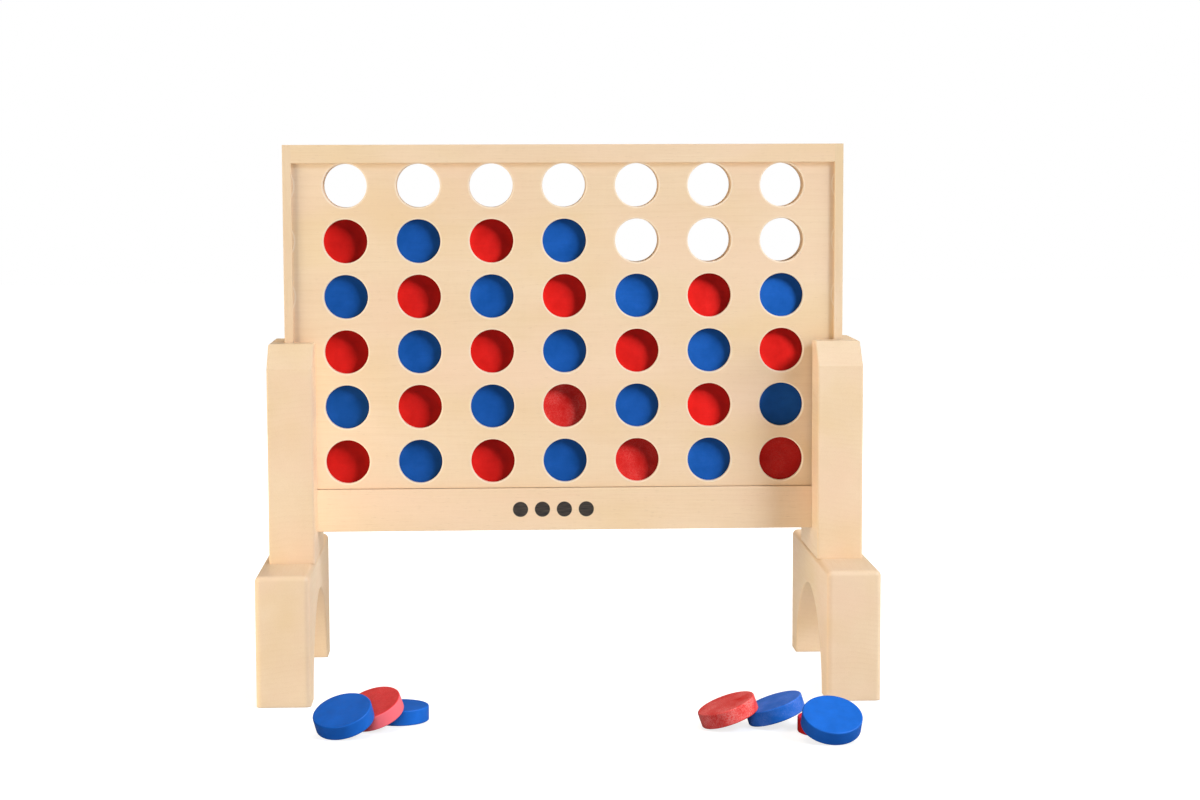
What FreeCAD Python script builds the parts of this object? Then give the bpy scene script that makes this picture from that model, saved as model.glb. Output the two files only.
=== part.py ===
import FreeCAD, Part
import os
import re

import Sketcher

# Giant four in a row: an upright board of seven columns and six rows of round
# windows stands in slots in two wooden posts, and each post stands on an arched foot.
# X runs along the board, Y from the front to the rear and Z up from the ground.
# Every length is in millimetres and every angle in degrees.

DIMENSIONS = {
    # playing discs and the grid that they stand in
    "disc_diameter": 89.4,
    "disc_thickness": 23.0,
    "disc_round": 2.0,
    "row_pitch": 90.0,
    "column_pitch": 118.4,
    "first_row_height": 361.0,
    # board
    "board_width": 910.0,
    "board_bottom": 247.0,
    "board_top": 877.0,
    "board_depth": 61.0,
    "stile_face": 14.0,
    "top_strip_height": 30.0,
    "rail_height": 69.0,
    "panel_thickness": 9.0,
    "panel_gap": 0.7,
    "panel_span_depth": 45.0,
    "window_diameter": 71.0,
    "window_round": 2.0,
    "channel_width": 93.0,
    "edge_round": 1.5,
    # release gate under the columns
    "gate_thickness": 8.0,
    "gate_depth": 43.4,
    "gate_bridge": 25.0,
    "gate_top": 315.7,
    "gate_gap": 0.3,
    "pull_neck": 10.0,
    "pull_ball": 20.0,
    "pull_drop": 32.0,
    # posts and feet
    "leg_inner_face": 405.4,
    "post_thickness": 73.0,
    "post_depth": 214.0,
    "post_top": 558.0,
    "post_chamfer": 38.0,
    "post_round": 3.0,
    "slot_width": 63.0,
    "slot_depth": 51.0,
    "slot_floor": 246.7,
    "foot_thickness": 85.3,
    "foot_depth": 464.0,
    "foot_height": 207.0,
    "foot_round": 9.0,
    "arch_radius": 170.0,
    "arch_drop": 22.0,
    "arch_round": 3.0,
    # fasteners
    "bolt_place": 55.0,
    "bolt_diameter": 8.0,
    "bolt_head_diameter": 13.0,
    "bolt_head_height": 8.0,
    "bolt_hex": 3.5,
    "bolt_hex_depth": 5.0,
    "bolt_top": 262.0,
    "bolt_clearance": 8.6,
    "washer_diameter": 22.0,
    "washer_thickness": 2.0,
    "bolt_seat": 160.0,
    "counterbore_diameter": 25.0,
    "insert_diameter": 12.0,
    "insert_height": 25.0,
    "dowel_place": 88.0,
    "dowel_diameter": 12.0,
    "dowel_length": 60.0,
    "screw_diameter": 4.5,
    "screw_head_diameter": 9.0,
    "screw_head_height": 3.0,
    "screw_length": 45.0,
    "screw_spread": 34.0,
    "screw_rise": 30.5,
    "screw_edge": 5.0,
    # how far a cutting shape runs past what it cuts, and the room under a screw or bolt's tip
    "overcut": 2.0,
    "tip_room": 4.0,
    # depth of the holes that come out in the arch
    "leg_bore_depth": 85.0,
    # distance from the origin back to the board's middle plane, set by centre_the_set
    "stand_back": 0.0,
}

COLUMNS = 7
ROWS = 6
MIDDLE_COLUMN = COLUMNS // 2

# The discs in each column from the bottom up: r is red and b is blue.
COLUMN_DISCS = ["rbrbr", "brbrb", "rbrbr", "brbrb", "rbrb", "brbr", "rbrb"]
COLOURS = {"r": "red", "b": "blue"}

# Loose discs on the ground: x and y of the centre from the middle of the stand, the tilt
# from flat, and the direction that the upper face leans to, counted from +X.
LOOSE_DISCS = {
    "loose_blue_disc_left_flat": (-263.5, -327.5, 0.0, 0.0),
    "loose_red_disc_left_middle": (-300.9, -376.5, 24.0, 226.7),
    "loose_blue_disc_left_front": (-343.0, -425.1, 24.3, 239.4),
    "loose_red_disc_right_flat": (378.0, -439.4, 0.0, 0.0),
    "loose_blue_disc_right_middle": (304.9, -390.8, 18.3, 181.3),
    "loose_red_disc_right_end": (232.7, -400.8, 19.5, 186.7),
    "loose_blue_disc_right_front": (376.5, -497.0, 26.5, 277.7),
}

X_AXIS = FreeCAD.Vector(1, 0, 0)
Y_AXIS = FreeCAD.Vector(0, 1, 0)
Z_AXIS = FreeCAD.Vector(0, 0, 1)

# A sketch's shapes are drawn anywhere, at any size, and then driven by their constraints.
DRAFT_LOW = 10.0
DRAFT_HIGH = 20.0
DRAFT_SIZE = 5.0

# A pocket that takes less than this away, in cubic millimetres, is a mistake.
LEAST_CUT = 1.0

doc = FreeCAD.newDocument("giant_four_in_a_row")
sheet = doc.addObject("Spreadsheet::Sheet", "dims")
pieces = []


def fill_sheet():
    """Write each driving dimension in its own row of the sheet."""
    for row, (name, value) in enumerate(DIMENSIONS.items(), start=1):
        sheet.set("A%d" % row, name)
        sheet.set("B%d" % row, str(value))
        sheet.setAlias("B%d" % row, name)
    doc.recompute()


def formula(text):
    """Turn a formula of dimension names into one that reads the sheet."""
    def cell(match):
        word = match.group(0)
        return "dims." + word if word in DIMENSIONS else word
    return re.sub(r"[a-z_]+", cell, text)


def bind(thing, prop, text):
    thing.setExpression(prop, formula(text))


def place(piece, x="0", y="0", z="0", axis=Z_AXIS, angle="0"):
    """Bind a piece's place. y counts from the middle plane of the stand."""
    spot = "create(<<vector>>; %s; stand_back + %s; %s)" % (x, y, z)
    turn = "create(<<rotation>>; create(<<vector>>; %.9g; %.9g; %.9g); %s)" % (
        axis.x, axis.y, axis.z, angle)
    bind(piece, "Placement", "create(<<placement>>; %s; %s)" % (spot, turn))


# ---- sketches and features ----------------------------------------------------------

def new_body(label):
    body = doc.addObject("PartDesign::Body", label)
    body.Label = label
    pieces.append(body)
    return body


def new_sketch(body, name, plane, offset="0"):
    """Attach a sketch to one of the body's own origin planes, moved along its normal."""
    sketch = body.newObject("Sketcher::SketchObject", body.Label + "_" + name)
    support = next(f for f in body.Origin.OriginFeatures if f.Role == plane)
    sketch.AttachmentSupport = [(support, "")]
    sketch.MapMode = "FlatFace"
    bind(sketch, "AttachmentOffset.Base.z", offset)
    return sketch


def dimension(sketch, kind, *where, text):
    index = sketch.addConstraint(Sketcher.Constraint(kind, *where, DRAFT_SIZE))
    bind(sketch, "Constraints[%d]" % index, text)


def rectangle(sketch, left, bottom, width, height):
    """Draw a rectangle from its lower left corner, with every side bound."""
    start = sketch.GeometryCount
    low, high = DRAFT_LOW, DRAFT_HIGH
    corners = [FreeCAD.Vector(x, y, 0) for x, y in ((low, low), (high, low), (high, high), (low, high))]
    for number in range(4):
        sketch.addGeometry(Part.LineSegment(corners[number], corners[(number + 1) % 4]))
    for number in range(4):
        following = start + (number + 1) % 4
        sketch.addConstraint(Sketcher.Constraint("Coincident", start + number, 2, following, 1))
        kind = "Horizontal" if number % 2 == 0 else "Vertical"
        sketch.addConstraint(Sketcher.Constraint(kind, start + number))
    dimension(sketch, "DistanceX", -1, 1, start, 1, text=left)
    dimension(sketch, "DistanceX", -1, 1, start, 2, text="%s + %s" % (left, width))
    dimension(sketch, "DistanceY", -1, 1, start, 1, text=bottom)
    dimension(sketch, "DistanceY", -1, 1, start + 2, 1, text="%s + %s" % (bottom, height))


def circle(sketch, x, y, diameter):
    centre = FreeCAD.Vector(DRAFT_HIGH, DRAFT_HIGH, 0)
    index = sketch.addGeometry(Part.Circle(centre, Z_AXIS, DRAFT_SIZE))
    dimension(sketch, "Diameter", index, text=diameter)
    dimension(sketch, "DistanceX", -1, 1, index, 3, text=x)
    dimension(sketch, "DistanceY", -1, 1, index, 3, text=y)


def extrude(kind, body, sketch, name, length, side):
    feature = body.newObject(kind, body.Label + "_" + name)
    feature.Profile = sketch
    feature.Type = 0
    bind(feature, "Length", length)
    if side == "both":
        feature.SideType = "Symmetric"
    feature.Reversed = side == "back"
    sketch.Visibility = False
    return feature


def pad(body, sketch, name, length, side="front"):
    return extrude("PartDesign::Pad", body, sketch, name, length, side)


def pocket(body, sketch, name, length, side="front"):
    """Cut a pocket, and stop the build if it takes nothing away."""
    doc.recompute()
    before = body.Shape.Volume
    feature = extrude("PartDesign::Pocket", body, sketch, name, length, side)
    doc.recompute()
    if body.Shape.Volume > before - LEAST_CUT:
        raise SystemExit("%s cuts nothing" % feature.Name)
    return feature


def edges_where(shape, test):
    return ["Edge%d" % n for n, edge in enumerate(shape.Edges, start=1) if test(edge)]


def dress(kind, body, name, test, prop, size):
    """Fillet or chamfer the edges of the body that pass a test."""
    doc.recompute()
    base = body.Tip
    names = edges_where(base.Shape, test)
    if not names:
        raise SystemExit("%s_%s finds no edge" % (body.Label, name))
    feature = body.newObject(kind, body.Label + "_" + name)
    feature.Base = (base, names)
    bind(feature, prop, size)
    return feature


def fillet(body, name, test, radius):
    return dress("PartDesign::Fillet", body, name, test, "Radius", radius)


def chamfer(body, name, test, size):
    return dress("PartDesign::Chamfer", body, name, test, "Size", size)


def ends(edge):
    first, last = edge.ParameterRange
    return edge.valueAt(first), edge.valueAt(last)


def is_curve(edge, kind):
    """True for an edge of one kind of curve. Some blend edges have no kind at all."""
    try:
        return isinstance(edge.Curve, kind)
    except TypeError:
        return False


def runs_along(edge, axis):
    """True for a straight edge along an axis."""
    if not is_curve(edge, Part.Line):
        return False
    a, b = ends(edge)
    return (b - a).normalize().isEqual(axis, 1e-6) or (a - b).normalize().isEqual(axis, 1e-6)


def near(value, wanted):
    return abs(value - wanted) < 0.01


# ---- discs ----------------------------------------------------------------------------

def disc(label):
    """A flat turned disc with its axis on local Z and both rims rounded."""
    body = new_body(label)
    sketch = new_sketch(body, "round", "XY_Plane")
    circle(sketch, "0", "0", "disc_diameter")
    pad(body, sketch, "pad", "disc_thickness", side="both")
    fillet(body, "rims", lambda e: is_curve(e, Part.Circle), "disc_round")
    return body


def board_discs():
    for column, colours in enumerate(COLUMN_DISCS):
        for row, colour in enumerate(colours):
            label = "%s_disc_column_%d_row_%d" % (COLOURS[colour], column + 1, row + 1)
            place(disc(label),
                  x="%d * column_pitch" % (column - MIDDLE_COLUMN),
                  z="first_row_height + %d * row_pitch" % row,
                  axis=X_AXIS, angle="90")


def loose_discs():
    """Each loose disc is turned about a level axis until its rim meets the ground."""
    for label, (x, y, tilt, lean) in LOOSE_DISCS.items():
        level = FreeCAD.Rotation(Z_AXIS, lean).multVec(Y_AXIS)
        height = ("(disc_diameter / 2 - disc_round) * sin(%g deg)"
                  " + (disc_thickness / 2 - disc_round) * cos(%g deg) + disc_round" % (tilt, tilt))
        place(disc(label), x="%g" % x, y="%g" % y, z=height, axis=level, angle="%g" % tilt)


# ---- board ----------------------------------------------------------------------------
# The front and the rear pieces are alike: the rear one is turned half a turn about Z.

SIDES = {"front": "0", "rear": "180"}
HANDS = {"right": "0", "left": "180"}

# Places of the screws that hold the stiles to the ends of the rails.
SCREW_Y = "(board_depth / 2 - screw_edge)"
SCREW_Z = "board_bottom + screw_rise %s screw_spread / 2"


def panel(side):
    """A sheet with a round window at every place of the grid, rounded on its outer face."""
    body = new_body(side + "_panel")
    sketch = new_sketch(body, "outline", "XZ_Plane", "panel_span_depth / 2")
    rectangle(sketch, "stile_face - board_width / 2", "board_bottom + rail_height + panel_gap",
              "board_width - 2 * stile_face", "board_top - board_bottom - rail_height - panel_gap")
    pad(body, sketch, "sheet", "panel_thickness", side="back")
    hole = new_sketch(body, "window", "XZ_Plane", "panel_span_depth / 2")
    circle(hole, "-%d * column_pitch" % MIDDLE_COLUMN, "first_row_height", "window_diameter")
    window = pocket(body, hole, "window_cut", "panel_thickness")
    grid = body.newObject("PartDesign::LinearPattern", body.Label + "_windows")
    grid.Originals = [window]
    grid.Direction = (hole, ["H_Axis"])
    bind(grid, "Length", "%d * column_pitch" % (COLUMNS - 1))
    grid.Occurrences = COLUMNS
    grid.Direction2 = (hole, ["V_Axis"])
    bind(grid, "Length2", "%d * row_pitch" % (ROWS - 1))
    grid.Occurrences2 = ROWS
    body.Tip = grid
    outer = -DIMENSIONS["panel_span_depth"] / 2

    def window_rim(edge):
        return is_curve(edge, Part.Circle) and near(edge.Curve.Center.y, outer)

    fillet(body, "window_rims", window_rim, "window_round")
    place(body, angle=SIDES[side])


def stile(hand):
    """An end board of T section: a flange over the panels' ends and a web between them."""
    body = new_body(hand + "_stile")
    flange = new_sketch(body, "flange", "XY_Plane", "board_bottom")
    rectangle(flange, "board_width / 2 - stile_face", "-board_depth / 2",
              "stile_face", "board_depth")
    pad(body, flange, "flange_pad", "board_top - board_bottom")
    half_width = DIMENSIONS["board_width"] / 2

    def outer_corner(edge):
        return runs_along(edge, Z_AXIS) and near(edge.Vertexes[0].X, half_width)

    fillet(body, "outer_corners", outer_corner, "edge_round")
    web = new_sketch(body, "web", "XY_Plane", "board_bottom")
    inner = "%d * column_pitch + channel_width / 2" % MIDDLE_COLUMN
    width = "board_width / 2 - stile_face - %d * column_pitch - channel_width / 2" % MIDDLE_COLUMN
    rectangle(web, inner, "panel_thickness - panel_span_depth / 2",
              width, "panel_span_depth - 2 * panel_thickness")
    pad(body, web, "web_pad", "board_top - board_bottom")
    passage = new_sketch(body, "gate_passage", "XZ_Plane")
    rectangle(passage, inner + " - overcut", "gate_top - gate_thickness - gate_gap",
              width + " + overcut", "gate_thickness + 3 * gate_gap")
    pocket(body, passage, "gate_cut", "panel_span_depth", side="both")
    place(body, angle=HANDS[hand])


def bar(side, name, bottom, height, depth):
    """A board that runs from stile to stile with its front face flush with theirs."""
    body = new_body(side + "_" + name)
    section = new_sketch(body, "section", "YZ_Plane")
    rectangle(section, "-board_depth / 2", bottom, depth, height)
    pad(body, section, "length", "board_width - 2 * stile_face", side="both")
    outer = -DIMENSIONS["board_depth"] / 2

    def outer_edge(edge):
        return runs_along(edge, X_AXIS) and near(edge.Vertexes[0].Y, outer)

    fillet(body, "outer_edges", outer_edge, "edge_round")
    place(body, angle=SIDES[side])
    return body


def top_strip(side):
    bar(side, "top_strip", "board_top - top_strip_height", "top_strip_height",
        "board_depth / 2 - panel_span_depth / 2")


def bottom_rail(side):
    """The rail has a rabbet along its inner top edge, in which the gate's edge runs."""
    rail_depth = "board_depth / 2 - panel_span_depth / 2 + panel_thickness"
    body = bar(side, "bottom_rail", "board_bottom", "rail_height", rail_depth)
    rabbet = new_sketch(body, "rabbet", "YZ_Plane")
    rectangle(rabbet, "-gate_depth / 2 - gate_gap", "gate_top - gate_thickness - gate_gap",
              "gate_depth / 2", "gate_thickness + gate_gap + overcut")
    pocket(body, rabbet, "rabbet_cut", "board_width", side="both")
    bores = new_sketch(body, "screw_bores", "YZ_Plane", "board_width / 2 - stile_face")
    for sign in "-+":
        circle(bores, "-" + SCREW_Y, SCREW_Z % sign, "screw_diameter")
    pocket(body, bores, "right_bores", "screw_length - stile_face")
    far = new_sketch(body, "far_screw_bores", "YZ_Plane", "stile_face - board_width / 2")
    for sign in "-+":
        circle(far, "-" + SCREW_Y, SCREW_Z % sign, "screw_diameter")
    pocket(body, far, "left_bores", "screw_length - stile_face", side="back")


def stile_screw_holes():
    """Countersunk seats and bores for the screws through each stile's flange."""
    for hand in HANDS:
        body = doc.getObject(hand + "_stile")
        for name, diameter, depth in (
                ("screw_bores", "screw_diameter", "stile_face"),
                ("screw_seats", "screw_head_diameter", "screw_head_height")):
            holes = new_sketch(body, name, "YZ_Plane", "board_width / 2")
            for side in "-+":
                for sign in "-+":
                    circle(holes, "0 " + side + " " + SCREW_Y, SCREW_Z % sign, diameter)
            pocket(body, holes, name + "_cut", depth)


def column_dividers():
    """Six slats between the panels that part the seven columns."""
    slats = []
    for number in range(COLUMNS - 1):
        slat = doc.addObject("Part::Box", "divider_%d" % (number + 1))
        bind(slat, "Length", "column_pitch - channel_width")
        bind(slat, "Width", "panel_span_depth - 2 * panel_thickness")
        bind(slat, "Height", "board_top - gate_top - 2 * gate_gap")
        place(slat,
              x="(%g * column_pitch + channel_width / 2)" % (number - MIDDLE_COLUMN),
              y="(panel_thickness - panel_span_depth / 2)",
              z="gate_top + 2 * gate_gap")
        slats.append(slat)
    group("column_dividers", slats)


def release_gate():
    """A sliding plate: a bridge under each column, and windows that the discs drop through."""
    body = new_body("release_gate")
    outline = new_sketch(body, "outline", "XY_Plane", "gate_top - gate_thickness")
    length = "(%d * column_pitch + gate_bridge)" % (COLUMNS - 1)
    rectangle(outline, "-%s / 2" % length, "-gate_depth / 2", length, "gate_depth")
    pad(body, outline, "plate", "gate_thickness")
    opening = new_sketch(body, "opening", "XY_Plane", "gate_top")
    rectangle(opening, "-%d * column_pitch + gate_bridge / 2" % MIDDLE_COLUMN,
              "panel_thickness - panel_span_depth / 2",
              "column_pitch - gate_bridge", "panel_span_depth - 2 * panel_thickness")
    cut = pocket(body, opening, "opening_cut", "gate_thickness")
    row = body.newObject("PartDesign::LinearPattern", "release_gate_openings")
    row.Originals = [cut]
    row.Direction = (opening, ["H_Axis"])
    bind(row, "Length", "%d * column_pitch" % (COLUMNS - 2))
    row.Occurrences = COLUMNS - 1
    body.Tip = row
    socket = new_sketch(body, "socket", "XY_Plane", "gate_top")
    circle(socket, "0", "0", "pull_neck")
    pocket(body, socket, "socket_cut", "gate_thickness")
    place(body)


def gate_pull():
    """A turned peg that hangs from the gate between the bottom rails."""
    neck = doc.addObject("Part::Cylinder", "gate_pull_neck")
    bind(neck, "Radius", "pull_neck / 2")
    bind(neck, "Height", "gate_thickness + pull_drop")
    bind(neck, "Placement.Base.z", "gate_top - gate_thickness - pull_drop")
    ball = doc.addObject("Part::Sphere", "gate_pull_ball")
    bind(ball, "Radius", "pull_ball / 2")
    bind(ball, "Placement.Base.z", "gate_top - gate_thickness - pull_drop")
    pull = doc.addObject("Part::Fuse", "gate_pull")
    pull.Base = neck
    pull.Tool = ball
    pull.Label = "gate_pull"
    place(pull)
    pieces.append(pull)


# ---- stand ----------------------------------------------------------------------------
# The right leg is drawn from its inner face outwards, and the left leg is turned about Z.

LEG_MIDDLE = "leg_inner_face + post_thickness / 2"


def post(hand):
    body = new_body(hand + "_post")
    side = new_sketch(body, "side", "YZ_Plane", "leg_inner_face")
    rectangle(side, "-post_depth / 2", "foot_height", "post_depth", "post_top - foot_height")
    pad(body, side, "block", "post_thickness")
    top = DIMENSIONS["post_top"]
    chamfer(body, "top_chamfers",
            lambda e: runs_along(e, X_AXIS) and near(e.Vertexes[0].Z, top), "post_chamfer")

    def outline_edge(edge):
        on_foot = all(near(v.Z, DIMENSIONS["foot_height"]) for v in edge.Vertexes)
        return not runs_along(edge, X_AXIS) and not on_foot

    fillet(body, "outline", outline_edge, "post_round")
    slot = new_sketch(body, "slot", "YZ_Plane", "leg_inner_face")
    rectangle(slot, "-slot_width / 2", "slot_floor", "slot_width", "post_top - slot_floor + overcut")
    pocket(body, slot, "slot_cut", "slot_depth", side="back")
    for name, place_y, diameter, depth in (
            ("insert", "bolt_place", "insert_diameter", "insert_height"),
            ("bolt", "bolt_place", "bolt_clearance", "bolt_top - foot_height + tip_room"),
            ("dowel", "dowel_place", "dowel_diameter", "dowel_length / 2")):
        leg_holes(body, name, place_y, diameter, "foot_height", depth, "back")
    place(body, angle=HANDS[hand])


def foot(hand):
    body = new_body(hand + "_foot")
    side = new_sketch(body, "side", "YZ_Plane", "leg_inner_face")
    rectangle(side, "-foot_depth / 2", "0", "foot_depth", "foot_height")
    pad(body, side, "block", "foot_thickness")
    top = DIMENSIONS["foot_height"]
    half_depth = DIMENSIONS["foot_depth"] / 2
    arch_radius = DIMENSIONS["arch_radius"]

    def soft_edge(edge):
        corner = runs_along(edge, Z_AXIS) and near(abs(edge.Vertexes[0].Y), half_depth)
        return corner or all(near(v.Z, top) for v in edge.Vertexes)

    fillet(body, "corners_and_top", soft_edge, "foot_round")
    arch = new_sketch(body, "arch", "YZ_Plane", "leg_inner_face")
    circle(arch, "0", "-arch_drop", "2 * arch_radius")
    pocket(body, arch, "arch_cut", "foot_thickness", side="back")

    def arch_edge(edge):
        return is_curve(edge, Part.Circle) and near(edge.Curve.Radius, arch_radius)

    fillet(body, "arch_rims", arch_edge, "arch_round")
    for name, place_y, diameter, height, depth in (
            ("bolt", "bolt_place", "bolt_clearance", "foot_height", "leg_bore_depth"),
            ("seat", "bolt_place", "counterbore_diameter", "bolt_seat", "leg_bore_depth"),
            ("dowel", "dowel_place", "dowel_diameter", "foot_height", "dowel_length / 2")):
        leg_holes(body, name, place_y, diameter, height, depth, "front")
    place(body, angle=HANDS[hand])


def leg_holes(body, name, place_y, diameter, height, depth, side):
    """Two upright holes, one each side of the middle of a leg."""
    holes = new_sketch(body, name + "_holes", "XY_Plane", height)
    for sign in "-+":
        circle(holes, LEG_MIDDLE, "0 " + sign + " " + place_y, diameter)
    pocket(body, holes, name + "_cut", depth, side=side)


# ---- fasteners --------------------------------------------------------------------------

def group(label, members):
    """Identical pieces that share one node."""
    whole = doc.addObject("Part::Compound", label)
    whole.Links = members
    whole.Label = label
    pieces.append(whole)


def cylinder(name, diameter, height):
    shape = doc.addObject("Part::Cylinder", name)
    bind(shape, "Radius", diameter + " / 2")
    bind(shape, "Height", height)
    return shape


def leg_places():
    """The four places, by name and by sign in X and in Y."""
    for hand, x_sign in (("left", "-"), ("right", "")):
        for side, y_sign in (("front", "-"), ("rear", "")):
            yield hand + "_" + side, x_sign, y_sign


def leg_fasteners():
    """Bolts, washers, threaded inserts and dowels that hold each post to its foot."""
    bolts, washers, inserts, dowels = [], [], [], []
    for where, x_sign, y_sign in leg_places():
        x = "%s(%s)" % (x_sign, LEG_MIDDLE)
        y = "(%sbolt_place)" % y_sign
        under_head = "bolt_seat - washer_thickness"
        shank = cylinder("shank_" + where, "bolt_diameter",
                         "(bolt_top - bolt_seat + washer_thickness)")
        place(shank, x, y, under_head)
        head = cylinder("head_" + where, "bolt_head_diameter", "bolt_head_height")
        place(head, x, y, under_head + " - bolt_head_height")
        whole = doc.addObject("Part::Fuse", "bolt_blank_" + where)
        whole.Base = head
        whole.Tool = shank
        key = doc.addObject("Part::Prism", "hexagon_" + where)
        key.Polygon = 6
        bind(key, "Circumradius", "bolt_hex")
        bind(key, "Height", "bolt_hex_depth + overcut")
        place(key, x, y, under_head + " - bolt_head_height - overcut")
        bolt = doc.addObject("Part::Cut", "bolt_" + where)
        bolt.Base = whole
        bolt.Tool = key
        bolts.append(bolt)
        washers.append(ring("washer_" + where, "washer_diameter", "bolt_clearance",
                            "washer_thickness", x, y, under_head))
        inserts.append(ring("insert_" + where, "insert_diameter", "bolt_diameter",
                            "insert_height", x, y, "foot_height"))
        dowel = cylinder("dowel_" + where, "dowel_diameter", "dowel_length")
        place(dowel, x, "(%sdowel_place)" % y_sign, "foot_height - dowel_length / 2")
        dowels.append(dowel)
    group("leg_bolts", bolts)
    group("leg_washers", washers)
    group("threaded_inserts", inserts)
    group("leg_dowels", dowels)


def ring(name, outer, inner, height, x, y, z):
    """A short tube with its lower face at z."""
    body = cylinder(name + "_outside", outer, height)
    place(body, x, y, z)
    hole = cylinder(name + "_hole", inner, height + " + 2 * overcut")
    place(hole, x, y, z + " - overcut")
    cut = doc.addObject("Part::Cut", name)
    cut.Base = body
    cut.Tool = hole
    return cut


def frame_screws():
    """Countersunk screws through the stiles into the ends of the bottom rails."""
    screws = []
    for hand, x_sign, turn in (("left", "-", "90"), ("right", "", "-90")):
        for side in "-+":
            for sign in "-+":
                where = "%s_%d" % (hand, len(screws))
                y = "(0 %s %s)" % (side, SCREW_Y)
                z = SCREW_Z % sign
                shank = cylinder("screw_shank_" + where, "screw_diameter", "screw_length")
                place(shank, x_sign + "board_width / 2", y, z, Y_AXIS, turn)
                head = cylinder("screw_head_" + where, "screw_head_diameter",
                                "screw_head_height")
                place(head, x_sign + "board_width / 2", y, z, Y_AXIS, turn)
                screw = doc.addObject("Part::Fuse", "screw_" + where)
                screw.Base = head
                screw.Tool = shank
                screws.append(screw)
    group("frame_screws", screws)


# ---- build, check and write ---------------------------------------------------------------

def build():
    fill_sheet()
    for hand in HANDS:
        post(hand)
        foot(hand)
    leg_fasteners()
    for side in SIDES:
        panel(side)
        top_strip(side)
        bottom_rail(side)
    for hand in HANDS:
        stile(hand)
    stile_screw_holes()
    column_dividers()
    frame_screws()
    release_gate()
    gate_pull()
    board_discs()
    loose_discs()


def centre_the_set():
    """Move everything along Y until the whole set is centred on the origin."""
    doc.recompute()
    boxes = [piece.Shape.optimalBoundingBox() for piece in pieces]
    middle = (min(b.YMin for b in boxes) + max(b.YMax for b in boxes)) / 2
    cell = sheet.getCellFromAlias("stand_back")
    sheet.set(cell, "%.4f" % -middle)
    doc.recompute()


def check():
    for thing in doc.Objects:
        if "Invalid" in thing.State or "Error" in thing.State:
            raise SystemExit("%s failed: %s" % (thing.Name, thing.State))
    for piece in pieces:
        if piece.Shape.isNull() or not piece.Shape.isValid():
            raise SystemExit("%s has no valid shape" % piece.Label)


def write():
    os.makedirs("parts", exist_ok=True)
    for piece in pieces:
        piece.Shape.exportStep("parts/%s.step" % piece.Label)


build()
centre_the_set()
check()
write()
print("stand_back", sheet.get("stand_back"), "pieces", len(pieces))
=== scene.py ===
import math

import bpy
from mathutils import Euler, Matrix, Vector


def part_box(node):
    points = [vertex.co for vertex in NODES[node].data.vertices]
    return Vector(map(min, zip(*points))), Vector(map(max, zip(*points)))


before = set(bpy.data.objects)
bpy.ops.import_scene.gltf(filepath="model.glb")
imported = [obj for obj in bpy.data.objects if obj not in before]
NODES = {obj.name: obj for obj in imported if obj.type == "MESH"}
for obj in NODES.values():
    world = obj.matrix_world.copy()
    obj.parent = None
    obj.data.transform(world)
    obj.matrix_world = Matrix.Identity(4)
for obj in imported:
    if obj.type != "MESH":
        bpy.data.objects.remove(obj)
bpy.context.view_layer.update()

# Lengths are in metres and angles in degrees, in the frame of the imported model.
GROUND = 0.0
# The middle plane of the board.
STAND_Y = (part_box("front_panel")[0].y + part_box("rear_panel")[1].y) / 2


def middle_of(node):
    low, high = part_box(node)
    return (low + high) / 2


# The grid of windows, from the discs that stand in it.
COLUMN_PITCH = middle_of("red_disc_column_5_row_1").x - middle_of("blue_disc_column_4_row_1").x
ROW_PITCH = middle_of("blue_disc_column_1_row_2").z - middle_of("red_disc_column_1_row_1").z
FIRST_ROW = middle_of("red_disc_column_1_row_1").z
WINDOW_RADIUS = 0.0355

# The mark on the front rail: four dots.
MARK_DOTS = 4
MARK_CENTRE = -0.020
MARK_PITCH = 0.036
MARK_RADIUS = 0.0125
MARK_EDGE = 0.0003


# ---- node trees ----------------------------------------------------------------------

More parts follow.
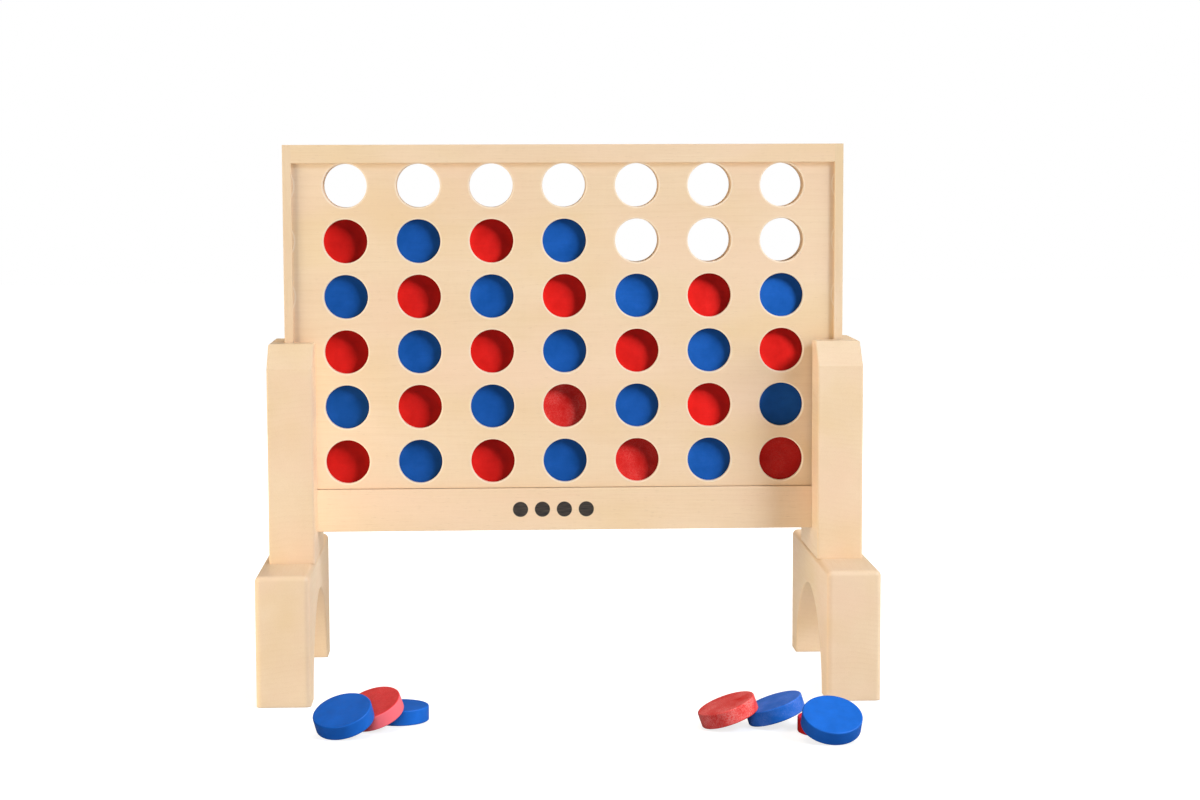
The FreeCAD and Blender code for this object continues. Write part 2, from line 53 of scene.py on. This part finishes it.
class Tree:
    """Builds a material's nodes. Values may be numbers, colours or other nodes' outputs."""

    def __init__(self, name):
        self.material = bpy.data.materials.new(name)
        self.material.use_nodes = True
        self.nodes = self.material.node_tree.nodes
        self.links = self.material.node_tree.links
        self.nodes.clear()
        self.output = self.nodes.new("ShaderNodeOutputMaterial")
        self.shader = self.nodes.new("ShaderNodeBsdfPrincipled")
        self.links.new(self.shader.outputs["BSDF"], self.output.inputs["Surface"])

    def feed(self, socket, value):
        if isinstance(value, bpy.types.NodeSocket):
            self.links.new(value, socket)
        elif value is not None:
            socket.default_value = value

    def set(self, socket, value):
        self.feed(self.shader.inputs[socket], value)

    def place(self):
        """Coordinates of the surface in the row frame, which move with the piece."""
        return self.nodes.new("ShaderNodeTexCoord").outputs["Object"]

    def mapped(self, vector, scale=(1, 1, 1), shift=(0, 0, 0), turn=(0, 0, 0)):
        node = self.nodes.new("ShaderNodeMapping")
        self.feed(node.inputs["Vector"], vector)
        node.inputs["Location"].default_value = shift
        node.inputs["Rotation"].default_value = [math.radians(a) for a in turn]
        node.inputs["Scale"].default_value = scale
        return node.outputs["Vector"]

    def noise(self, vector, scale, detail=2.0, rough=0.5):
        node = self.nodes.new("ShaderNodeTexNoise")
        self.feed(node.inputs["Vector"], vector)
        node.inputs["Scale"].default_value = scale
        node.inputs["Detail"].default_value = detail
        node.inputs["Roughness"].default_value = rough
        return node.outputs["Fac"]

    def math(self, operation, a, b=None, c=None):
        node = self.nodes.new("ShaderNodeMath")
        node.operation = operation
        for socket, value in zip(node.inputs, (a, b, c)):
            self.feed(socket, value)
        return node.outputs["Value"]

    def vector_math(self, operation, a, b=None):
        node = self.nodes.new("ShaderNodeVectorMath")
        node.operation = operation
        self.feed(node.inputs[0], a)
        self.feed(node.inputs[1], b)
        return node.outputs["Value" if operation in ("LENGTH", "DOT_PRODUCT") else "Vector"]

    def parts(self, vector):
        node = self.nodes.new("ShaderNodeSeparateXYZ")
        self.feed(node.inputs[0], vector)
        return node.outputs[0], node.outputs[1], node.outputs[2]

    def joined(self, x, y, z):
        node = self.nodes.new("ShaderNodeCombineXYZ")
        for socket, value in zip(node.inputs, (x, y, z)):
            self.feed(socket, value)
        return node.outputs[0]

    def spread(self, value, low, high, to_low=0.0, to_high=1.0, smooth=False):
        node = self.nodes.new("ShaderNodeMapRange")
        node.interpolation_type = "SMOOTHSTEP" if smooth else "LINEAR"
        for socket, number in zip(node.inputs, (value, low, high, to_low, to_high)):
            self.feed(socket, number)
        return node.outputs["Result"]

    def mix(self, share, a, b, blend="MIX"):
        node = self.nodes.new("ShaderNodeMix")
        node.data_type = "RGBA"
        node.blend_type = blend
        self.feed(node.inputs[0], share)
        self.feed(node.inputs[6], a)
        self.feed(node.inputs[7], b)
        return node.outputs[2]

    def bump(self, height, distance, strength):
        node = self.nodes.new("ShaderNodeBump")
        self.feed(node.inputs["Height"], height)
        node.inputs["Distance"].default_value = distance
        node.inputs["Strength"].default_value = strength
        return node.outputs["Normal"]


# ---- wood ------------------------------------------------------------------------------

BIRCH_LIGHT = (0.885, 0.675, 0.465)
BIRCH_DARK = (0.755, 0.520, 0.305)
BIRCH_PINK = (0.870, 0.600, 0.425)
BIRCH_HONEY = (0.800, 0.570, 0.300)
PORE_BROWN = (0.46, 0.28, 0.14)
# Painted highlight: the pale colour laid on the window rims where light would catch them.
RIM_HIGHLIGHT = (0.945, 0.790, 0.620)
PRINT_INK = (0.016, 0.015, 0.017)

# How far each way of the grain is turned, so that it runs along local X.
GRAIN_TURN = {"x": (0, 0, 0), "y": (0, 0, 90), "z": (0, 90, 0)}


def opaque(colour, tint=1.0):
    return tuple(c * tint for c in colour) + (1.0,)


def grow_rings(t, turned, local, pith, pitch, wander):
    """Late wood of the growth rings, 0 to 1: distance from the pith, bent by slow waves."""
    _, across, up = t.parts(turned)
    waves = t.noise(t.mapped(local, scale=(0.9, 5.0, 5.0)), 1.0, detail=3.0, rough=0.55)
    ripples = t.noise(t.mapped(local, scale=(5.0, 30.0, 30.0)), 1.0, detail=2.0)
    from_pith = t.vector_math("LENGTH", t.joined(
        0.0, t.math("SUBTRACT", across, pith[0]), t.math("SUBTRACT", up, pith[1])))
    bent = t.math("MULTIPLY_ADD", waves, wander, from_pith)
    bent = t.math("MULTIPLY_ADD", ripples, 0.004, bent)
    phase = t.math("FRACT", t.math("DIVIDE", bent, pitch))
    late = t.math("POWER", phase, 3.0)
    fall = t.spread(phase, 0.90, 1.0, 1.0, 0.0, smooth=True)
    rings = t.math("MULTIPLY", late, fall)
    depth = t.noise(t.mapped(local, scale=(1.2, 9.0, 9.0)), 1.0, detail=2.0)
    return t.math("MULTIPLY", rings, t.spread(depth, 0.35, 0.7, 0.15, 1.0))


def wood(name, along, seed, pith, tint=1.0, pitch=0.006, ring_share=0.30, wander=0.060):
    """Pale birch. along is the way the grain runs and pith the middle of the log.

    pitch is the width of a growth ring, ring_share how strong the rings are, and wander
    how far they stray. seed moves the piece to another place in the log.
    """
    t = Tree(name)
    turned = t.mapped(t.place(), turn=GRAIN_TURN[along])
    local = t.vector_math("ADD", turned, (seed * 1.37, seed * 0.71, seed * 0.43))
    rings = grow_rings(t, turned, local, pith, pitch, wander)

    # Fine streaks along the grain, open pores, and flecks across it.
    fibres = t.noise(t.mapped(local, scale=(0.045, 1.0, 1.0)), 420.0, detail=3.0, rough=0.62)
    pores = t.noise(t.mapped(local, scale=(0.09, 1.0, 1.0)), 900.0, detail=1.0)
    pores = t.spread(pores, 0.64, 0.76, 0.0, 1.0, smooth=True)
    flecks = t.noise(t.mapped(local, scale=(6.0, 1.0, 1.0)), 60.0, detail=2.0)
    clouds = t.noise(t.mapped(local, scale=(0.55, 1.6, 1.6)), 5.0, detail=4.0, rough=0.6)

    share = t.math("MULTIPLY", rings, ring_share)
    share = t.math("MULTIPLY_ADD", t.spread(fibres, 0.3, 0.7), 0.20, share)
    share = t.math("MULTIPLY_ADD", t.spread(clouds, 0.35, 0.68), 0.34, share)
    share = t.math("MULTIPLY_ADD", t.spread(flecks, 0.35, 0.65), 0.05, share)
    colour = t.mix(t.math("MINIMUM", share, 1.0), opaque(BIRCH_LIGHT, tint),
                   opaque(BIRCH_DARK, tint))
    pink = t.noise(t.mapped(local, scale=(0.5, 1.0, 1.0)), 8.0, detail=3.0)
    colour = t.mix(t.spread(pink, 0.42, 0.66, 0.0, 0.45), colour, opaque(BIRCH_PINK, tint))
    honey = t.noise(t.mapped(local, shift=(3.1, 1.7, 0.9), scale=(0.6, 1.3, 1.3)), 6.0, detail=3.0)
    colour = t.mix(t.spread(honey, 0.50, 0.72, 0.0, 0.48), colour, opaque(BIRCH_HONEY, tint))
    colour = t.mix(t.math("MULTIPLY", pores, 0.20), colour, opaque(PORE_BROWN))
    t.set("Base Color", colour)
    t.set("Roughness", t.spread(fibres, 0.3, 0.7, 0.38, 0.50))
    relief = t.math("MULTIPLY_ADD", pores, -0.8, fibres)
    relief = t.math("MULTIPLY_ADD", rings, 0.35, relief)
    t.set("Normal", t.bump(relief, 0.00012, 0.55))
    t.shader.inputs["Specular IOR Level"].default_value = 0.42
    t.shader.inputs["Coat Weight"].default_value = 0.20
    t.shader.inputs["Coat Roughness"].default_value = 0.25
    return t


def recolour(t, share, colour):
    """Lay one more colour over a tree's base colour."""
    base = t.shader.inputs["Base Color"]
    under = base.links[0].from_socket
    t.set("Base Color", t.mix(share, under, opaque(colour)))


def nearest(t, value, first, pitch):
    """Signed distance from the nearest of a row of evenly spaced places."""
    steps = t.math("DIVIDE", t.math("SUBTRACT", value, first), pitch)
    return t.math("MULTIPLY", t.math("SUBTRACT", steps, t.math("ROUND", steps)), pitch)


def painted_rim_highlights(t):
    """Painted highlight: a pale ring on the rims of the windows, as their rounded edges would
    catch the light, though it runs all the way round.
    """
    x, _, z = t.parts(t.place())
    off_x = nearest(t, x, 0.0, COLUMN_PITCH)
    off_z = nearest(t, z, FIRST_ROW, ROW_PITCH)
    out = t.vector_math("LENGTH", t.joined(off_x, 0.0, off_z))
    rise = t.spread(out, WINDOW_RADIUS - 0.0005, WINDOW_RADIUS + 0.0004, 0.0, 1.0, smooth=True)
    fall = t.spread(out, WINDOW_RADIUS + 0.0014, WINDOW_RADIUS + 0.0032, 1.0, 0.0, smooth=True)
    # Lay the painted highlight over the face around each window.
    recolour(t, t.math("MULTIPLY", t.math("MULTIPLY", rise, fall), 0.60), RIM_HIGHLIGHT)


def four_dot_mark(t):
    """A plain printed mark on the rail: four round dots in a row."""
    low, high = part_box("front_bottom_rail")
    x, y, z = t.parts(t.place())
    first = MARK_CENTRE - (MARK_DOTS - 1) / 2 * MARK_PITCH
    off_x = nearest(t, x, first, MARK_PITCH)
    off_z = t.math("SUBTRACT", z, (low.z + high.z) / 2)
    out = t.vector_math("LENGTH", t.joined(off_x, 0.0, off_z))
    dot = t.spread(out, MARK_RADIUS - MARK_EDGE, MARK_RADIUS + MARK_EDGE, 1.0, 0.0, smooth=True)
    from_middle = t.math("ABSOLUTE", t.math("SUBTRACT", x, MARK_CENTRE))
    in_row = t.math("LESS_THAN", from_middle, MARK_DOTS / 2 * MARK_PITCH)
    on_face = t.math("LESS_THAN", y, low.y + 0.001)
    wear = t.noise(t.mapped(t.place(), scale=(0.1, 1.0, 1.0)), 500.0, detail=3.0)
    share = t.math("MULTIPLY", t.math("MULTIPLY", dot, in_row), on_face)
    recolour(t, t.math("MULTIPLY", share, t.spread(wear, 0.3, 0.7, 1.0, 0.93)), PRINT_INK)


def give(node, tree):
    slots = NODES[node].data.materials
    slots.clear()
    slots.append(tree.material)


# Each board has a log of its own, with the grain along its length: node, grain, pith, tint,
# ring width, ring strength and wander.
BOARDS = (
    ("front_panel", "x", (0.31, -0.21), 1.00, 0.0130, 0.22, 0.110),
    ("rear_panel", "x", (0.27, -0.16), 0.99, 0.0120, 0.22, 0.110),
    ("front_top_strip", "x", (0.20, -0.90), 0.98, 0.0050, 0.26, 0.060),
    ("rear_top_strip", "x", (0.24, -0.88), 0.98, 0.0050, 0.26, 0.060),
    ("front_bottom_rail", "x", (0.30, -0.20), 1.01, 0.0070, 0.26, 0.080),
    ("rear_bottom_rail", "x", (0.26, -0.32), 0.99, 0.0070, 0.26, 0.080),
    ("left_stile", "z", (0.05, 0.40), 0.94, 0.0050, 0.26, 0.050),
    ("right_stile", "z", (0.30, -0.40), 0.94, 0.0050, 0.26, 0.050),
    ("column_dividers", "z", (0.40, 0.30), 0.96, 0.0060, 0.30, 0.060),
    ("release_gate", "x", (0.45, -0.30), 0.95, 0.0050, 0.30, 0.060),
    ("left_post", "y", (-0.25, -1.60), 1.00, 0.0085, 0.24, 0.045),
    ("right_post", "y", (0.25, -1.50), 1.01, 0.0085, 0.24, 0.045),
    ("left_foot", "y", (-0.30, -1.20), 1.00, 0.0085, 0.24, 0.045),
    ("right_foot", "y", (0.30, -1.25), 1.00, 0.0085, 0.24, 0.045),
)
BEECH_PIECES = ("leg_dowels", "gate_pull")
BEECH_FIRST_SEED = 31


def dress_wood():
    trees = {}
    for seed, (node, along, *log) in enumerate(BOARDS, start=1):
        trees[node] = wood(node + "_birch", along, seed, *log)
        give(node, trees[node])
    for seed, node in enumerate(BEECH_PIECES, start=BEECH_FIRST_SEED):
        give(node, wood(node + "_beech", "z", seed, (0.2, 0.1), 0.82, 0.0030))
    # Painted highlights on the window rims of both panels.
    painted_rim_highlights(trees["front_panel"])
    painted_rim_highlights(trees["rear_panel"])
    four_dot_mark(trees["front_bottom_rail"])


# ---- painted discs -------------------------------------------------------------------------

RED = (0.64, 0.008, 0.006)
BLUE = (0.006, 0.106, 0.475)
# The pale colour of the specks: dust, and painted sheen on the brighter discs.
DUST_AND_SHEEN = (0.72, 0.60, 0.56)
# Painted sheen: the pink laid on the turned edge of one loose disc.
PINK_SHEEN = (0.80, 0.17, 0.21)

# How much pale speck shows on the paint: dust, and on the discs with a high level also painted
# sheen. These discs have more or less of it than the rest.
USUAL_DUST = 0.012
DUST_AND_SHEEN_ON = {
    "red_disc_column_4_row_2": 0.162,
    "red_disc_column_5_row_1": 0.112,
    "red_disc_column_7_row_1": 0.082,
    "loose_red_disc_right_end": 0.432,
    "loose_blue_disc_right_middle": 0.132,
    "loose_red_disc_left_middle": 0.112,
    "loose_blue_disc_left_flat": 0.002,
    "loose_blue_disc_left_front": 0.004,
    "loose_blue_disc_right_front": 0.002,
}
# This disc's turned edge gets a painted sheen.
SHEEN_EDGE_DISC = "loose_red_disc_left_middle"


def paint(name, colour, seed, dust_and_sheen):
    """Satin paint on turned wood: the grain just shows as relief and in the tone."""
    t = Tree(name)
    local = t.vector_math("ADD", t.place(), (seed * 0.37, seed * 0.59, seed * 0.83))
    grain = t.noise(t.mapped(local, scale=(0.06, 1.0, 1.0)), 520.0, detail=3.0, rough=0.6)
    film = t.noise(local, 900.0, detail=2.0)
    cloud = t.noise(local, 26.0, detail=4.0, rough=0.65)
    tint = 1.0 + 0.05 * math.sin(seed * 2.4)
    tone = t.mix(t.spread(cloud, 0.3, 0.7), opaque(colour, 0.84 * tint),
                 opaque(colour, 1.12 * tint))
    tone = t.mix(t.spread(grain, 0.35, 0.7, 0.0, 0.16), tone, opaque(colour, 0.72))
    # Pale specks: dust, which at high levels also paints a sheen that brightens the face.
    specks = t.noise(local, 620.0, detail=4.0, rough=0.7)
    specks = t.math("MULTIPLY", t.spread(specks, 0.40, 0.68, 0.1, 1.0), t.spread(cloud, 0.3, 0.62))
    tone = t.mix(t.math("MULTIPLY", specks, dust_and_sheen), tone, opaque(DUST_AND_SHEEN))
    t.set("Base Color", tone)
    t.set("Roughness", t.spread(cloud, 0.3, 0.7, 0.46, 0.58))
    height = t.math("MULTIPLY_ADD", film, 0.35, grain)
    t.set("Normal", t.bump(height, 0.00010, 0.5))
    t.shader.inputs["Specular IOR Level"].default_value = 0.14
    return t


def painted_sheen_edge(t, node, share):
    """Painted sheen: the turned edge of a disc is painted paler and pinker than the two faces, as
    a strong reflection would show there.
    """
    faces = NODES[node].data.polygons
    axis = max(faces, key=lambda face: face.area).normal
    normal = t.nodes.new("ShaderNodeTexCoord").outputs["Normal"]
    along = t.math("ABSOLUTE", t.vector_math("DOT_PRODUCT", normal, tuple(axis)))
    # Paint the sheen on the faces that turn away from the axis.
    recolour(t, t.spread(along, 0.35, 0.85, share, 0.10, smooth=True), PINK_SHEEN)


def dress_discs():
    for seed, node in enumerate(sorted(n for n in NODES if "_disc_" in n)):
        colour = RED if "red" in node else BLUE
        tree = paint(node + "_paint", colour, seed, DUST_AND_SHEEN_ON.get(node, USUAL_DUST))
        if node == SHEEN_EDGE_DISC:
            # Painted sheen on this disc's turned edge.
            painted_sheen_edge(tree, node, 0.75)
        give(node, tree)


# ---- metal -----------------------------------------------------------------------------------

def metal(name, colour, rough):
    t = Tree(name)
    spots = t.noise(t.place(), 700.0, detail=3.0)
    t.set("Base Color", t.mix(t.spread(spots, 0.3, 0.7, 0.0, 0.5), opaque(colour),
                              opaque(colour, 0.8)))
    t.shader.inputs["Metallic"].default_value = 1.0
    t.set("Roughness", t.spread(spots, 0.3, 0.7, rough, rough + 0.15))
    t.set("Normal", t.bump(spots, 0.00003, 0.5))
    return t


def dress_metal():
    for node in ("leg_bolts", "leg_washers", "frame_screws"):
        give(node, metal(node + "_zinc", (0.72, 0.72, 0.70), 0.28))
    give("threaded_inserts", metal("inserts_brass", (0.80, 0.62, 0.30), 0.25))


# ---- stage -------------------------------------------------------------------------------------

FLOOR_REACH = 14.0
FLOOR_DROP = 0.0004
FLOOR_GREY = 0.42

# What the camera sees of the floor's own light: less near the stand, so that faint shadows
# show there, and pure white from far out. The distances are from the origin.
FLOOR_NEAR, FLOOR_FAR = 0.9, 3.2
FLOOR_NEAR_LEVEL, FLOOR_FAR_LEVEL = 0.78, 1.0

# The level of the white surroundings that lights the scene. The camera sees them at 1.
SKY_LEVEL = 0.11

COOL = (0.76, 0.93, 1.21)
WARM = (1.045, 0.99, 0.85)
WHITE = (1.0, 1.0, 1.0)

# Each lamp: name, the way to it from the middle of the board, distance, size, level, colour,
# whether it is mirrored in gloss, the things that it lights, and a piece that it shines past.
LAMPS = (
    ("key_wood", (1.15, -1.0, 1.1), 5.0, 1.6, 0.48, COOL, True, "wood", None),
    ("right_wood", (1.8, -0.9, 0.0), 3.5, 2.4, 0.62, WARM, False, "wood", None),
    ("top_wood", (0.0, 0.0, 1.8), 3.5, 2.4, 0.38, WARM, False, "wood", None),
    ("back_wood", (0.3, 1.5, 0.8), 3.5, 2.4, 0.80, WARM, False, "wood", None),
    ("left_wood", (-1.8, -0.9, 0.10), 3.5, 2.4, 0.84, WARM, False, "wood", "left_post"),
    ("key_red", (2.3, -1.0, 1.5), 3.2, 0.9, 2.56, WHITE, True, "open red", "right_post"),
    ("key_blue", (1.7, -1.0, 1.1), 3.2, 1.8, 1.52, WHITE, True, "open blue", "right_post"),
    ("key_discs", (1.6, -1.0, 1.2), 3.2, 0.9, 1.56, WHITE, True, "other discs", None),
    ("back_discs", (-1.2, 1.5, 0.7), 3.5, 0.9, 0.95, WHITE, True, "board discs", None),
    ("low_discs", (-0.4, -1.7, 0.2), 3.5, 1.6, 0.42, WHITE, True, "loose discs", None),
)
LAMP_TARGET = Vector((0.0, STAND_Y, 0.50))

GLOW_RADIUS = 1.3
GLOW_LEVEL = 0.25
GLOW_HEIGHT = 0.002


def floor():
    """A wide pale sheet under everything. It looks lighter than the light that it sends back."""
    mesh = bpy.data.meshes.new("floor")
    corners = [(x * FLOOR_REACH, y * FLOOR_REACH, 0)
               for x, y in ((-1, -1), (1, -1), (1, 1), (-1, 1))]
    mesh.from_pydata(corners, [], [(0, 1, 2, 3)])
    sheet = bpy.data.objects.new("floor", mesh)
    sheet.location.z = GROUND - FLOOR_DROP
    bpy.context.scene.collection.objects.link(sheet)
    t = Tree("floor_white")
    t.shader.inputs["Base Color"].default_value = opaque(WHITE, FLOOR_GREY)
    t.shader.inputs["Roughness"].default_value = 0.9
    t.shader.inputs["Specular IOR Level"].default_value = 0.0
    t.shader.inputs["Emission Color"].default_value = opaque(WHITE)
    seen = t.nodes.new("ShaderNodeLightPath").outputs["Is Camera Ray"]
    away = t.vector_math("LENGTH", t.place())
    level = t.spread(away, FLOOR_NEAR, FLOOR_FAR, FLOOR_NEAR_LEVEL, FLOOR_FAR_LEVEL)
    t.set("Emission Strength", t.math("MULTIPLY", seen, level))
    mesh.materials.append(t.material)
    return sheet


def white_surroundings():
    """Pure white to the camera, and a weak even light to everything else."""
    world = bpy.data.worlds.new("studio")
    world.use_nodes = True
    tree = world.node_tree
    background = tree.nodes["Background"]
    background.inputs["Color"].default_value = opaque(WHITE)
    seen = tree.nodes.new("ShaderNodeLightPath").outputs["Is Camera Ray"]
    level = tree.nodes.new("ShaderNodeMapRange")
    level.inputs["To Min"].default_value = SKY_LEVEL
    level.inputs["To Max"].default_value = 1.0
    tree.links.new(seen, level.inputs["Value"])
    tree.links.new(level.outputs["Result"], background.inputs["Strength"])
    bpy.context.scene.world = world


def group_of(name, things):
    group = bpy.data.collections.new(name)
    for thing in things:
        group.objects.link(thing)
    return group


def softbox(name, place, way, size, energy, colour, shine):
    """A round lamp at a place, turned against the way that leads to it."""
    data = bpy.data.lights.new(name, "AREA")
    data.shape = "DISK"
    data.size = size
    data.energy = energy
    data.color = colour
    lamp = bpy.data.objects.new(name, data)
    lamp.location = place
    lamp.rotation_mode = "QUATERNION"
    lamp.rotation_quaternion = (-way).to_track_quat("-Z", "Y")
    lamp.visible_camera = False
    lamp.visible_glossy = shine
    bpy.context.scene.collection.objects.link(lamp)
    return lamp


def lit_groups(ground):
    """The sets of things that have lamps of their own."""
    discs = [NODES[n] for n in NODES if "_disc_" in n]
    loose = [disc for disc in discs if disc.name.startswith("loose")]
    board = [disc for disc in discs if disc not in loose]
    by_post = [disc for disc in board if "_column_7_" in disc.name]
    in_the_open = [disc for disc in board if disc not in by_post]
    return {
        "wood": [NODES[n] for n in NODES if "_disc_" not in n] + [ground],
        "open red": [disc for disc in in_the_open if "red" in disc.name],
        "open blue": [disc for disc in in_the_open if "blue" in disc.name],
        "other discs": by_post + loose,
        "board discs": board,
        "loose discs": loose,
    }


def lights(ground):
    """A key from the upper right, with a fill that keeps the pale wood even.

    A lamp's level is what it adds to a white surface that faces it at the target.
    """
    white_surroundings()
    groups = lit_groups(ground)
    for name, way, distance, size, level, colour, shine, lit, passed in LAMPS:
        way = Vector(way).normalized()
        energy = level * (math.pi * distance) ** 2
        lamp = softbox(name, LAMP_TARGET + way * distance, way, size, energy, colour, shine)
        linking = lamp.light_linking
        linking.receiver_collection = group_of(name + "_lights", groups[lit])
        if passed:
            blockers = [NODES[n] for n in NODES if n != passed]
            linking.blocker_collection = group_of(name + "_blockers", blockers)

    # One lamp lies on the ground and shines up, as a bright white floor does.
    glow = softbox("ground_glow", (0.0, STAND_Y, GROUND + GLOW_HEIGHT), Vector((0, 0, -1)),
                   2 * GLOW_RADIUS, GLOW_LEVEL * (math.pi * GLOW_RADIUS) ** 2, WHITE, False)
    glow.light_linking.receiver_collection = group_of("ground_glow_lights", groups["wood"])


def camera():
    """Eye level is a little above the board, slightly left of its middle."""
    data = bpy.data.cameras.new("camera")
    data.sensor_width = 36.0
    data.lens = 74.6
    data.clip_end = 60.0
    eye = bpy.data.objects.new("camera", data)
    eye.location = (-0.117, STAND_Y - 4.075, 0.8424)
    pitch, yaw, roll = math.radians(5.386), math.radians(2.464), math.radians(0.17)
    eye.rotation_mode = "XYZ"
    look = Euler((math.pi / 2 - pitch, 0.0, -yaw), "XYZ").to_matrix()
    look = look @ Euler((0.0, 0.0, -roll), "XYZ").to_matrix()
    eye.rotation_euler = look.to_euler("XYZ")
    bpy.context.scene.collection.objects.link(eye)
    bpy.context.scene.camera = eye


dress_wood()
dress_discs()
dress_metal()
lights(floor())
camera()
bpy.context.scene.view_settings.view_transform = "Standard"
